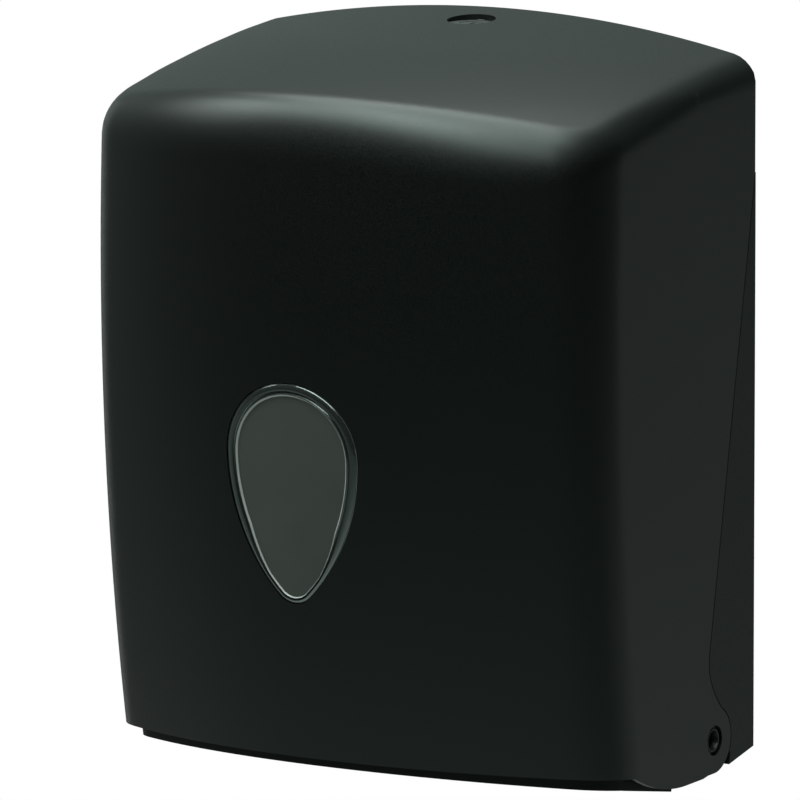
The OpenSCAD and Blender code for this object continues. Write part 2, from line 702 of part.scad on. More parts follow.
module window_seal() color("#26292b") from_mount()
    drop_ring(lens_flange, 0.4, wall, wall + seal_t);

// Frame behind the cover that holds the lens and its seal
module window_frame() color("#1d2220") from_mount() {
    drop_ring(lens_flange + keep_w, lens_flange + slip_fit, wall, lens_back + keep_t);
    drop_ring(lens_flange + slip_fit + 0.2, lens_flange - 3, lens_back, lens_back + keep_t);
}

module lock_body() color("#a8adb0") from_mount() difference() {
    union() {
        post(lock_x, lock_y, lock_floor_z, lock_floor_z + lock_head_t, lock_head_r);
        post(lock_x, lock_y, lock_floor_z - lock_tube_l, lock_floor_z + 1, lock_tube_r);
    }
    post(lock_x, lock_y, lock_floor_z - lock_tube_l - 1, lock_floor_z + 10, plug_r + run_fit);
}

module lock_washer() color("#8d9296") from_mount() difference() {
    post(lock_x, lock_y, lock_pad_z - lock_washer_t, lock_pad_z, lock_tube_r + 4);
    post(lock_x, lock_y, lock_pad_z - 2, lock_pad_z + 1, lock_tube_r + slip_fit);
}

module lock_nut() color("#a8adb0") from_mount() difference() {
    translate([lock_x, -lock_y, lock_pad_z - lock_washer_t - lock_nut_h])
        cylinder(r = lock_nut_af / 2 / cos(30), h = lock_nut_h, $fn = 6);
    post(lock_x, lock_y, lock_pad_z - 10, lock_pad_z + 1, lock_tube_r + screw_fit);
}

// Plug with a plain key slot above and a square end below
module lock_plug() color("#b9bdbf") from_mount() difference() {
    union() {
        post(lock_x, lock_y, plug_end_z, lock_floor_z + lock_head_t - 0.2, plug_r);
        translate([lock_x - plug_square / 2, -lock_y - plug_square / 2, square_end_z])
            cube([plug_square, plug_square, plug_end_z - square_end_z + 1]);
    }
    translate([lock_x - key_slot_w / 2, -lock_y - plug_r * 0.7, lock_floor_z + lock_head_t - 6])
        cube([key_slot_w, plug_r * 1.4, 8]);
    post(lock_x, lock_y, square_end_z - 1, square_end_z + 8, screw_r + screw_fit);
}

// Cam arm that points to the wall when the lock is open
module lock_cam() color("#8d9296") from_mount() difference() {
    union() {
        post(lock_x, lock_y, cam_z, cam_z + cam_t, plug_r + 2);
        translate([lock_x - cam_w / 2, -lock_y, cam_z]) cube([cam_w, cam_reach, cam_t]);
    }
    translate([lock_x - plug_square / 2 - 0.1, -lock_y - plug_square / 2 - 0.1, cam_z - 1])
        cube([plug_square + 0.2, plug_square + 0.2, cam_t + 2]);
}

module cam_screw() color("#8d9296") from_mount() difference() {
    union() {
        post(lock_x, lock_y, square_end_z - screw_head_h, square_end_z, plug_r - 1);
        post(lock_x, lock_y, square_end_z - 1, square_end_z + 7, screw_r);
    }
    for (a = [0, 90]) translate([lock_x, -lock_y, square_end_z - screw_head_h]) rotate([0, 0, a])
        translate([-2, -0.4, -1]) cube([4, 0.8, 2]);
}

back_plate();
roll_shelf();
shelf_screws();
nozzle_collar();
nozzle_nut();
paper_brake();
brake_ring();
tear_ring();
keeper_plate();
keeper_screws();
hinge_pin_left();
hinge_pin_right();
hinge_washers();
pin_clips();
front_cover();
window_lens();
window_seal();
window_frame();
lock_body();
lock_washer();
lock_nut();
lock_plug();
lock_cam();
cam_screw();
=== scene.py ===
# %% [markdown]
# A wall dispenser for centrefeed paper rolls, dressed for a studio picture. The solids come from
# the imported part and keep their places; this lesson gives the pieces that the eye meets a finer
# surface, gives every piece a material, and sets the light and the camera.

import math

import bmesh
import bpy
import numpy as np
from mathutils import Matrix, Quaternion, Vector


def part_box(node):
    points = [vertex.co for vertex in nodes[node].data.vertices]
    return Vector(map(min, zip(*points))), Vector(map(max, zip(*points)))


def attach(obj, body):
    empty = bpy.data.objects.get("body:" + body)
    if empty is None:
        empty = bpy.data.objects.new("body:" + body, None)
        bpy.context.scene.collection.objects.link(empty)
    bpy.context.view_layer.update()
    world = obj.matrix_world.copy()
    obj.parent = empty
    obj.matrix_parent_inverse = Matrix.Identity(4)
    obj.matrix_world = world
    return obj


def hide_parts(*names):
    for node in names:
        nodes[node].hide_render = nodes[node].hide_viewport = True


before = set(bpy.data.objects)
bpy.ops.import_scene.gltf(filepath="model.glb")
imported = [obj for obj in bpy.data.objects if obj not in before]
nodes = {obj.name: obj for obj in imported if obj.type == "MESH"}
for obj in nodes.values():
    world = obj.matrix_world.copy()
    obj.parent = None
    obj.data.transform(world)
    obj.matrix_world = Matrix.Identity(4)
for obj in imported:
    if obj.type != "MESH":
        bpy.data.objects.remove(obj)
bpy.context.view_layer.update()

# %% [markdown]
# The drawing is in millimetres, with heights counted from the lower rear edge of the back plate.
# The row frame is in metres and starts at the centre of the wall holes, so one small function
# moves every point over. The sizes repeat those of the solids.

# %% Sizes in millimetres
MOUNT_Z = 175.0
HALF_W = 140.0
BODY_H = 350.0
BODY_D = 201.5
FRONT_BOW = 49.0
CORNER_R = 42.0
FRONT_SIDE_R = 1305.0
FULLEST_Z = 228.0
CROWN = 16.3
TOP_FALL = math.radians(4.3)
SHOULDER_FALL = math.radians(11.3)
SHOULDER_LIFT = 17.5
SHOULDER_BOW = 26.0
WALL = 2.6
COVER_BACK = 0.5
PIN_Y, PIN_Z, EAR_R = 38.8, 9.7, 16.0
WINDOW_Z = 160.0


def arc_radius(half_width, rise):
    return (half_width**2 + rise**2) / (2 * rise)


BOW_R = arc_radius(HALF_W, FRONT_BOW)
CROWN_R = arc_radius(HALF_W, CROWN)
SHOULDER_R = arc_radius(HALF_W, SHOULDER_BOW)


def to_row(points):
    return (np.asarray(points, float) - (0, 0, MOUNT_Z)) / 1000


print("front radius", round(BOW_R, 1), "crown radius", round(CROWN_R, 1))

# %% [markdown]
# Materials are node trees. One helper adds a node, sets its options and fills its sockets: a
# socket given a value gets the value, and a socket given another node's output gets a link.
# Colours are written as sRGB hex and turned to linear light in one place. Where sockets share a
# name they are reached by number, so the numbers get names here.

# %% Node and colour helpers
MIX_SHARE, MIX_FIRST, MIX_SECOND, MIX_RESULT = 0, 6, 7, 2
FROM_LOW, FROM_HIGH, TO_LOW, TO_HIGH = 1, 2, 3, 4
WHITE = (1, 1, 1, 1)


def put(tree, kind, sockets=None, **options):
    node = tree.nodes.new(kind)
    for key, value in options.items():
        setattr(node, key, value)
    for key, value in (sockets or {}).items():
        if isinstance(value, bpy.types.NodeSocket):
            tree.links.new(value, node.inputs[key])
        else:
            node.inputs[key].default_value = value
    return node


def colour(hex_code):
    channels = [int(hex_code[i : i + 2], 16) / 255 for i in (1, 3, 5)]
    linear = [c / 12.92 if c <= 0.04045 else ((c + 0.055) / 1.055) ** 2.4 for c in channels]
    return (*linear, 1.0)


def per_metre(size_mm):
    return 1000.0 / size_mm


def new_material(name):
    material = bpy.data.materials.new(name)
    material.use_nodes = True
    material.node_tree.nodes.clear()
    return material, material.node_tree


print("mid grey in linear light", [round(c, 4) for c in colour("#808080")])

# %% [markdown]
# Most of the object is moulded plastic. A mould leaves a spark-eroded grain, which scatters the
# gloss, and a slow drift of tone from uneven flow. Both are noise: the grain drives bump and
# roughness, the drift drives the colour. The real grain is about 0.3 mm, finer than a pixel here,
# so it is drawn two to three times as coarse to show at all.

# %% Moulded plastics
FLOW_MM = 60.0
GRAIN_LOW, GRAIN_HIGH, GRAIN_HAZE = 0.3, 0.7, 0.06
PLASTIC_IOR, GLOSS_TINT = 1.53, "#e7fff7"


def moulded_plastic(name, deep, pale, rough, grain_mm, bump_mm, gloss=0.5):
    material, tree = new_material(name)
    place = put(tree, "ShaderNodeTexCoord").outputs["Object"]
    drift = put(
        tree,
        "ShaderNodeTexNoise",
        {"Vector": place, "Scale": per_metre(FLOW_MM), "Detail": 3.0, "Roughness": 0.55},
    )
    grain = put(
        tree,
        "ShaderNodeTexNoise",
        {"Vector": place, "Scale": per_metre(grain_mm), "Detail": 2.0, "Roughness": 0.6},
    )
    tone = put(
        tree,
        "ShaderNodeMix",
        {MIX_SHARE: drift.outputs["Fac"], MIX_FIRST: colour(deep), MIX_SECOND: colour(pale)},
        data_type="RGBA",
    )
    haze = put(
        tree,
        "ShaderNodeMapRange",
        {
            "Value": grain.outputs["Fac"],
            FROM_LOW: GRAIN_LOW,
            FROM_HIGH: GRAIN_HIGH,
            TO_LOW: rough - GRAIN_HAZE,
            TO_HIGH: rough + GRAIN_HAZE,
        },
    )
    relief = put(
        tree,
        "ShaderNodeBump",
        {"Height": grain.outputs["Fac"], "Distance": bump_mm / 1000, "Strength": 0.5},
    )
    skin = put(
        tree,
        "ShaderNodeBsdfPrincipled",
        {
            "Base Color": tone.outputs[MIX_RESULT],
            "Roughness": haze.outputs["Result"],
            "IOR": PLASTIC_IOR,
            "Specular IOR Level": gloss,
            "Specular Tint": colour(GLOSS_TINT),
            "Normal": relief.outputs["Normal"],
        },
    )
    put(tree, "ShaderNodeOutputMaterial", {"Surface": skin.outputs["BSDF"]})
    return material


# The cover has a fine even grain: a satin black that carries broad, soft reflections.
cover_abs = moulded_plastic("grained_black_abs", "#030504", "#060807", 0.38, 0.7, 0.05)
# The back plate and window frame come from plainer moulds, a shade greyer and duller.
chassis_abs = moulded_plastic("moulded_black_abs", "#060908", "#0b0e0d", 0.5, 0.9, 0.05)
# The shelf is left as the mould gives it, with hardly any gloss.
shelf_abs = moulded_plastic("dull_black_abs", "#050706", "#090b0a", 0.6, 0.9, 0.05, gloss=0.2)
# The lock is a finely grained acetal, a mid grey with a soft sheen.
lock_acetal = moulded_plastic("satin_grey_acetal", "#353b38", "#3f4542", 0.38, 0.8, 0.02)
# The nozzle is a paler acetal that stands out from the shelf.
nozzle_acetal = moulded_plastic("grey_acetal", "#7d8482", "#8a918e", 0.42, 0.8, 0.03)
# The hinge pins are glass filled nylon, a dry black with a fine speckle.
pin_nylon = moulded_plastic("black_filled_nylon", "#15191a", "#1f2425", 0.4, 0.6, 0.04)
# The washers are plain nylon, a milky off-white.
washer_nylon = moulded_plastic("natural_nylon", "#d6d5cb", "#e2e1d9", 0.45, 0.8, 0.02)
print("plastics", [m.name for m in (cover_abs, chassis_abs, lock_acetal, nozzle_acetal)])

# %% [markdown]
# Rubber is the same idea with a duller, softer surface: hardly any gloss and a coarse bloom.
# Zinc plated steel is metal with faint rolling lines, so its noise is stretched along one axis.
# The real lines are about 0.1 mm apart and are drawn coarser to show at all.

# %% Rubber and steel
RUBBER_DEEP, RUBBER_PALE = "#17191a", "#222526"
ROLL_STRETCH = (0.06, 1.0, 1.0)
STEEL_PALE, STEEL_SMOOTH, STEEL_DULL, LINE_RELIEF_MM = "#c3c8ca", 0.24, 0.44, 0.02

# The seal and the brake star are matt rubber, a black that swallows the light.
seal_rubber = moulded_plastic(
    "matt_black_rubber", RUBBER_DEEP, RUBBER_PALE, 0.75, 1.2, 0.06, gloss=0.3
)


def plated_steel(name, hex_code, line_mm):
    material, tree = new_material(name)
    place = put(tree, "ShaderNodeTexCoord").outputs["Object"]
    stretch = put(tree, "ShaderNodeMapping", {"Vector": place, "Scale": ROLL_STRETCH})
    lines = put(
        tree,
        "ShaderNodeTexNoise",
        {"Vector": stretch.outputs["Vector"], "Scale": per_metre(line_mm), "Detail": 4.0},
    )
    dull = put(
        tree,
        "ShaderNodeMapRange",
        {"Value": lines.outputs["Fac"], TO_LOW: STEEL_SMOOTH, TO_HIGH: STEEL_DULL},
    )
    relief = put(
        tree,
        "ShaderNodeBump",
        {"Height": lines.outputs["Fac"], "Distance": LINE_RELIEF_MM / 1000, "Strength": 0.4},
    )
    tone = put(
        tree,
        "ShaderNodeMix",
        {
            MIX_SHARE: lines.outputs["Fac"],
            MIX_FIRST: colour(hex_code),
            MIX_SECOND: colour(STEEL_PALE),
        },
        data_type="RGBA",
    )
    skin = put(
        tree,
        "ShaderNodeBsdfPrincipled",
        {
            "Base Color": tone.outputs[MIX_RESULT],
            "Metallic": 1.0,
            "Roughness": dull.outputs["Result"],
            "Normal": relief.outputs["Normal"],
        },
    )
    put(tree, "ShaderNodeOutputMaterial", {"Surface": skin.outputs["BSDF"]})
    return material


# Keeper, clips, cam and screws are zinc plated: a cool grey with a streaky half gloss.
zinc_steel = plated_steel("zinc_plated_steel", "#9aa0a3", 0.8)
print("rubber", seal_rubber.name, "steel", zinc_steel.name)

# %% [markdown]
# The window is one moulding of smoked, see-through styrene acrylonitrile, dressed with three
# finishes. A slow cloud in the plastic varies the tone and the gloss a little.

# %% Smoked window plastics
SAN_IOR, CLOUDED = 1.57, 0.15


def smoked_plastic(name, deep, pale, rough, clear, haze_mm, gloss=0.5, ior=SAN_IOR):
    material, tree = new_material(name)
    place = put(tree, "ShaderNodeTexCoord").outputs["Object"]
    cloud = put(
        tree, "ShaderNodeTexNoise", {"Vector": place, "Scale": per_metre(haze_mm), "Detail": 2.0}
    )
    tone = put(
        tree,
        "ShaderNodeMix",
        {MIX_SHARE: cloud.outputs["Fac"], MIX_FIRST: colour(deep), MIX_SECOND: colour(pale)},
        data_type="RGBA",
    )
    dull = put(
        tree,
        "ShaderNodeMapRange",
        {
            "Value": cloud.outputs["Fac"],
            TO_LOW: rough * (1 - CLOUDED),
            TO_HIGH: rough * (1 + CLOUDED),
        },
    )
    skin = put(
        tree,
        "ShaderNodeBsdfPrincipled",
        {
            "Base Color": tone.outputs[MIX_RESULT],
            "Roughness": dull.outputs["Result"],
            "IOR": ior,
            "Specular IOR Level": gloss,
            "Specular Tint": colour(GLOSS_TINT),
            "Transmission Weight": clear,
        },
    )
    put(tree, "ShaderNodeOutputMaterial", {"Surface": skin.outputs["BSDF"]})
    return material


# The pane is hazed on its rear, so it reads as a flat grey with a weak gloss.
pane_smoke = smoked_plastic("hazed_smoked_san", "#474e48", "#4f5650", 0.3, 0.15, 25.0)
# The rim is polished and dark. A clear rim mirrors from its rear faces too, so its gloss is raised.
rim_smoke = smoked_plastic(
    "polished_smoked_san", "#262d2a", "#303734", 0.18, 0.2, 12.0, gloss=1.0, ior=1.9
)
# Thin edge rings get a pale colour: a painted highlight for the bright lines of light on the rim.
painted_highlight_smoke = smoked_plastic("painted_highlight_san", "#a9b3ad", "#b5bfb9", 0.2, 0.0, 12.0, gloss=1.0)
print("window", pane_smoke.name, rim_smoke.name, painted_highlight_smoke.name)

# %% [markdown]
# The outer form is a rule, not a sculpture: a bowed plan swept on a large radius makes the front
# and sides, and two shallow arcs make the crowned top with its falling shoulders. Each is written
# as a distance, below zero inside. Top and walls are joined along a quarter of an oval, taller
# than it is deep, which gives the soft brow. Close to the side edges the oval shrinks to the plain
# round of the shoulders.

# %% The form as distances
TOP_BLEND, SHOULDER_EDGE_R = 6.0, 9.3
BROW_BACK, BROW_DOWN, BROW_FADE = 14.0, 27.5, 7
TINY = 1e-9


def section_gap(u, v, front, bow, corner):
    v = np.abs(v)
    bow_u = front - bow
    eye_v = HALF_W - corner
    eye_u = bow_u + math.sqrt((bow - corner) ** 2 - eye_v**2)
    face = np.hypot(u - bow_u, v) - bow
    turn = np.hypot(u - eye_u, v - eye_v) - corner
    in_face = v * (eye_u - bow_u) <= eye_v * (u - bow_u)
    return np.where(in_face, face, np.where(u > eye_u, turn, v - HALF_W))


def walls_gap(p):
    u = np.hypot(p[:, 1] - (FRONT_SIDE_R - BODY_D), p[:, 2] - FULLEST_Z)
    return section_gap(u, p[:, 0], FRONT_SIDE_R, BOW_R, CORNER_R)


def arc_gap(p, apex_z, fall, radius):
    lift = -p[:, 1] * math.sin(fall) + (p[:, 2] - apex_z) * math.cos(fall)
    return np.hypot(p[:, 0], lift + radius) - radius


def rounded_join(a, b, r):
    return np.minimum(np.maximum(a, b), -r) + np.hypot(np.maximum(a + r, 0), np.maximum(b + r, 0))


def oval_join(a, b, back, down):
    u, w = np.maximum(a / back + 1, 0), np.maximum(b / down + 1, 0)
    ring = np.hypot(u, w)
    steep = np.maximum(np.hypot(u / back, w / down), TINY)
    return np.where(ring > 0, (ring - 1) * ring / steep, np.maximum(a, b))


def form_gap(p):
    crown = arc_gap(p, BODY_H, TOP_FALL, CROWN_R)
    shoulders = arc_gap(p, BODY_H + SHOULDER_LIFT, SHOULDER_FALL, SHOULDER_R)
    top = rounded_join(crown, shoulders, TOP_BLEND)
    brow = np.clip(1 - np.abs(p[:, 0] / HALF_W) ** BROW_FADE, 0, 1)
    back = SHOULDER_EDGE_R + (BROW_BACK - SHOULDER_EDGE_R) * brow
    down = SHOULDER_EDGE_R + (BROW_DOWN - SHOULDER_EDGE_R) * brow
    return oval_join(walls_gap(p), top, back, down)


probe = np.array([[0.0, -BODY_D / 2, WINDOW_Z]])
print("depth of the middle inside the form, mm", form_gap(probe).round(1))

# %% [markdown]
# A closed mesh of the form comes from rays. They leave one point on the wall plane, behind the
# window, and fan out over the whole front half-space; along each ray the surface is found by
# halving. The pole of the fan lands in the window opening, so it is cut away and never shows.

# %% Shoot the form
RAY_REACH, HALVINGS = 500.0, 48
AROUND, OUT, COVER_FLOOR = 400, 130, -20.0
HOLLOW_AROUND, HOLLOW_OUT, HOLLOW_BACK, HOLLOW_FLOOR = 200, 70, 12.0, -45.0


def shoot_form(inset, back_y, floor_z, around, out):
    start = np.array([0.0, back_y, WINDOW_Z])
    turn = np.linspace(0, 2 * math.pi, around, endpoint=False)
    lean = np.linspace(0, math.pi / 2, out + 1)[1:]
    lean, turn = np.meshgrid(lean, turn, indexing="ij")
    rays = np.stack(
        [np.sin(lean) * np.cos(turn), -np.cos(lean), np.sin(lean) * np.sin(turn)], -1
    ).reshape(-1, 3)
    rays = np.vstack([[0.0, -1.0, 0.0], rays])
    near, far = np.zeros(len(rays)), np.full(len(rays), RAY_REACH)
    for _ in range(HALVINGS):
        reach = (near + far) / 2
        p = start + rays * reach[:, None]
        inside = np.maximum(form_gap(p) + inset, floor_z - p[:, 2]) < 0
        near, far = np.where(inside, reach, near), np.where(inside, far, reach)
    points = np.vstack([start + rays * near[:, None], start])
    faces = []
    for ring in range(out - 1):
        a, b = 1 + ring * around, 1 + (ring + 1) * around
        for i in range(around):
            j = (i + 1) % around
            faces.append((a + i, b + i, b + j, a + j))
    last = 1 + (out - 1) * around
    hub = len(points) - 1
    for i in range(around):
        j = (i + 1) % around
        faces.append((0, 1 + i, 1 + j))
        faces.append((hub, last + j, last + i))
    return points, faces


def new_piece(name, points, faces):
    mesh = bpy.data.meshes.new(name)
    mesh.from_pydata([tuple(p) for p in to_row(points)], [], faces)
    mesh.validate()
    mesh.update()
    piece = bpy.data.objects.new(name, mesh)
    bpy.context.scene.collection.objects.link(piece)
    return piece


cover_form = shoot_form(0.0, -COVER_BACK, COVER_FLOOR, AROUND, OUT)
cover = new_piece("cover_shell", *cover_form)
hollow_form = shoot_form(WALL, HOLLOW_BACK, HOLLOW_FLOOR, HOLLOW_AROUND, HOLLOW_OUT)
hollow = new_piece("cover_hollow", *hollow_form)
print("outer faces", len(cover.data.polygons), "inner faces", len(hollow.data.polygons))

# %% [markdown]
# The openings are cut with plain prisms, as a mould maker would draw them: the hollow, the seam
# with its tapering cheek, the lower hem and the drop window. Each cut is an exact boolean whose
# result becomes the mesh at once, so no modifier stays on the piece. A prism is an outline and two
# ends, and a small function says which way it lies.


# %% Cutting tools
def bake(piece, step):
    bpy.context.view_layer.update()
    graph = bpy.context.evaluated_depsgraph_get()
    mesh = bpy.data.meshes.new_from_object(piece.evaluated_get(graph))
    piece.modifiers.remove(step)
    old, piece.data = piece.data, mesh
    bpy.data.meshes.remove(old)


def cut(piece, tool, operation="DIFFERENCE"):
    step = piece.modifiers.new("cut", "BOOLEAN")
    step.object, step.operation, step.solver = tool, operation, "EXACT"
    bake(piece, step)
    bpy.data.objects.remove(tool)


WELD = 1e-6


def outward(piece, weld=False):
    shape = bmesh.new()
    shape.from_mesh(piece.data)
    if weld:
        bmesh.ops.remove_doubles(shape, verts=shape.verts, dist=WELD)
    bmesh.ops.recalc_face_normals(shape, faces=shape.faces)
    shape.to_mesh(piece.data)
    shape.free()
    return piece


def prism(name, outline, start, end, place):
    n = len(outline)
    points = [place(u, v, start) for u, v in outline] + [place(u, v, end) for u, v in outline]
    sides = [(i, (i + 1) % n, n + (i + 1) % n, n + i) for i in range(n)]
    tool = new_piece(name, points, [tuple(range(n))[::-1], tuple(range(n, 2 * n)), *sides])
    return outward(tool)


def across(u, v, x):
    return (x, -u, v)


def inwards(u, v, y):
    return (u, -y, v)


def upright(u, v, z):
    return (u, -v, z)


def circle(cu, cv, r, count):
    turn = [2 * math.pi * i / count for i in range(count)]
    return [(cu + r * math.cos(a), cv + r * math.sin(a)) for a in turn]


cut(cover, hollow)
print("shell faces", len(cover.data.polygons))

# %% [markdown]
# Seen from the side, the seam leaves the wall high up and runs down to the tip of the cheek, where
# it bends back softly until it meets the round ear. The hem is lowest just in front of the ear,
# climbs on a shallow arc and goes on as a straight slope under the front. Both outlines run well
# past the cover, and not equally far, so that no two cut faces share a plane.

# %% Seam and hem
SEAM_GAP, SEAM_TOP, CHEEK_TIP = 0.7, 280.0, (45.0, 46.0)
BEND_START, BEND_FOOT, BEND_KNEE = 1.6, (2.5, 5.9), (7.5, 17.6)
EAR_TOUCH = math.radians(139)
HEM_LOW, HEM_CORNER, HEM_SLOPE, HEM_STEPS = (66.0, -7.0), (116.0, 5.5), 0.115, 24
EAR_LOW, EAR_STEP = (45.0, PIN_Z - EAR_R), 5
BELOW, BEYOND, SEAM_PAST, HEM_PAST = 70.0, 300.0, 9, 8
seam_rise = (SEAM_TOP - CHEEK_TIP[1]) / CHEEK_TIP[0]


def soft_bend(a, b, c, count=10):
    t = np.linspace(0, 1, count)[:, None]
    return [tuple(p) for p in (1 - t) ** 2 * a + 2 * t * (1 - t) * b + t**2 * c]


def seam_line(shift, ear_r):
    tip = np.add(CHEEK_TIP, (shift, 0.0))
    start = tip + np.array((-1.0, seam_rise)) * BEND_START
    foot = tip - BEND_FOOT
    knee = tip - BEND_KNEE
    touch = (PIN_Y + ear_r * math.cos(EAR_TOUCH), PIN_Z + ear_r * math.sin(EAR_TOUCH))
    return soft_bend(start, tip, foot) + soft_bend(foot, knee, np.array(touch))[1:]


cover_edge = seam_line(SEAM_GAP, EAR_R)
seam = [(-BELOW, -BELOW), (PIN_Y, -BELOW), (PIN_Y, PIN_Z), *cover_edge[::-1]]
seam += [(SEAM_GAP, SEAM_TOP), (-BELOW, SEAM_TOP + (BELOW + SEAM_GAP) * seam_rise)]
hem_run, hem_lift = HEM_CORNER[0] - HEM_LOW[0], HEM_CORNER[1] - HEM_LOW[1]
hem_r = arc_radius(hem_run, hem_lift)
hem_turn = np.linspace(0, math.asin(hem_run / hem_r), HEM_STEPS)
hem_arc = [
    (HEM_LOW[0] + hem_r * math.sin(a), HEM_LOW[1] + hem_r * (1 - math.cos(a))) for a in hem_turn
]
hem = [(-BELOW, -BELOW), (-BELOW, EAR_LOW[1]), EAR_LOW, (EAR_LOW[0] + EAR_STEP, HEM_LOW[1])]
hem += [*hem_arc, (BEYOND, HEM_CORNER[1] + HEM_SLOPE * (BEYOND - HEM_CORNER[0])), (BEYOND, -BELOW)]
cut(cover, prism("seam_tool", seam, -HALF_W - SEAM_PAST, HALF_W + SEAM_PAST, across))
cut(cover, prism("hem_tool", hem, -HALF_W - HEM_PAST, HALF_W + HEM_PAST, across))
print("hem radius", round(hem_r, 1), "faces", len(cover.data.polygons))

# %% [markdown]
# The window outline is a drop: a round head, two long side arcs and a small round tip, all
# tangent. Growing it only changes the radii, so every ring of the rim keeps the same angles.

# %% Window outline
HEAD_R, SIDE_R, TIP_R = 36.0, 95.5, 12.0
WINDOW_PAST = 30
side_u = SIDE_R - HEAD_R
tip_v = math.sqrt((SIDE_R - TIP_R) ** 2 - side_u**2)
tip_turn = math.atan2(tip_v, side_u)


def drop_outline(grow, head=48, side=40, tip=24):
    points = []
    for a in np.linspace(0, math.pi, head, endpoint=False):
        points.append(((HEAD_R + grow) * math.cos(a), (HEAD_R + grow) * math.sin(a)))
    for a in np.linspace(math.pi, math.pi + tip_turn, side, endpoint=False):
        points.append((side_u + (SIDE_R + grow) * math.cos(a), (SIDE_R + grow) * math.sin(a)))
    for a in np.linspace(math.pi + tip_turn, 2 * math.pi - tip_turn, tip, endpoint=False):
        points.append(((TIP_R + grow) * math.cos(a), -tip_v + (TIP_R + grow) * math.sin(a)))
    for a in np.linspace(2 * math.pi - tip_turn, 2 * math.pi, side, endpoint=False):
        points.append((-side_u + (SIDE_R + grow) * math.cos(a), (SIDE_R + grow) * math.sin(a)))
    return [(u, v + WINDOW_Z) for u, v in points]


window = drop_outline(0.0)
cut(cover, prism("window_tool", window, BODY_D / 2, BODY_D + WINDOW_PAST, inwards))
print("window height", round(HEAD_R + tip_v + TIP_R, 1), "faces", len(cover.data.polygons))

# %% [markdown]
# Two round ears carry the cover on its pins, each with a boss inside and a counterbore outside
# for the pin head. The ear stays a hair inside the faces of the wall, because an exact cut of two
# faces in one plane leaves slivers.

# %% Ears and pin bores
PIN_R, PIN_HEAD_R, HEAD_SEAT = 5.05, 7.3, 2.4
EAR_BOSS_R, EAR_BOSS, BOSS_SINK = 11.0, 3.4, 1.2
HAIR, BORE_PAST = 0.02, 2
EAR_SIDES, BORE_SIDES = 96, 64
for side in (-1, 1):
    face, inner = side * HALF_W, side * (HALF_W - WALL)
    ear = circle(PIN_Y, PIN_Z, EAR_R, EAR_SIDES)
    ear_faces = inner + side * HAIR, face - side * HAIR
    cut(cover, prism("ear_tool", ear, *ear_faces, across), "UNION")
    boss = circle(PIN_Y, PIN_Z, EAR_BOSS_R, BORE_SIDES)
    boss_end = inner - side * EAR_BOSS
    cut(cover, prism("boss_tool", boss, boss_end, inner + side * BOSS_SINK, across), "UNION")
    bore = circle(PIN_Y, PIN_Z, PIN_R, BORE_SIDES)
    past = side * BORE_PAST
    cut(cover, prism("bore_tool", bore, boss_end - past, face + past, across))
    seat = circle(PIN_Y, PIN_Z, PIN_HEAD_R, BORE_SIDES)
    cut(cover, prism("seat_tool", seat, face - side * HEAD_SEAT, face + past, across))
print("cover faces", len(cover.data.polygons))

# %% [markdown]
# On the top, near the wall, a thickened pad carries the lock in a round recess.

# %% Lock recess
LOCK_X, LOCK_Y = 0.0, 29.5
RECESS_R, RECESS, RECESS_PAST = 11.8, 4.0, 20
PAD_RIM, PAD_T, PAD_SINK = 3, 3.0, 1.8
LOCK_HOLE_R, HOLE_DOWN, HOLE_UP = 8.15, 9, 5
RECESS_SIDES = 72
recess_z = BODY_H - LOCK_Y * math.tan(TOP_FALL) - RECESS
pad = circle(LOCK_X, LOCK_Y, RECESS_R + PAD_RIM, RECESS_SIDES)
cut(cover, prism("pad_tool", pad, recess_z - PAD_T, recess_z + PAD_SINK, upright), "UNION")
recess = circle(LOCK_X, LOCK_Y, RECESS_R, RECESS_SIDES)
cut(cover, prism("recess_tool", recess, recess_z, recess_z + RECESS_PAST, upright))
lock_hole = circle(LOCK_X, LOCK_Y, LOCK_HOLE_R, BORE_SIDES)
cut(cover, prism("lock_hole_tool", lock_hole, recess_z - HOLE_DOWN, recess_z + HOLE_UP, upright))
print("cover faces", len(cover.data.polygons), "lock recess at", round(recess_z, 1))

# %% [markdown]
# Edges sharper than a given angle stay crisp and everything else is shaded smooth. The finished
# shell takes its material, stands for the solid of the cover and rides on the cover's body.


# %% Finish the cover
def finish_piece(piece, materials, body, slot, *replaced, crisp):
    mesh = piece.data
    mesh.materials.clear()
    for material in materials:
        mesh.materials.append(material)
    for face in mesh.polygons:
        face.use_smooth = True
    mesh.set_sharp_from_angle(angle=math.radians(crisp))
    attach(piece, body)
    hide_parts(*replaced)
    return piece


finish_piece(cover, [cover_abs], "cover", "cover_abs", "front_cover", crisp=28)
print("cover triangles", sum(len(f.vertices) - 2 for f in cover.data.polygons))
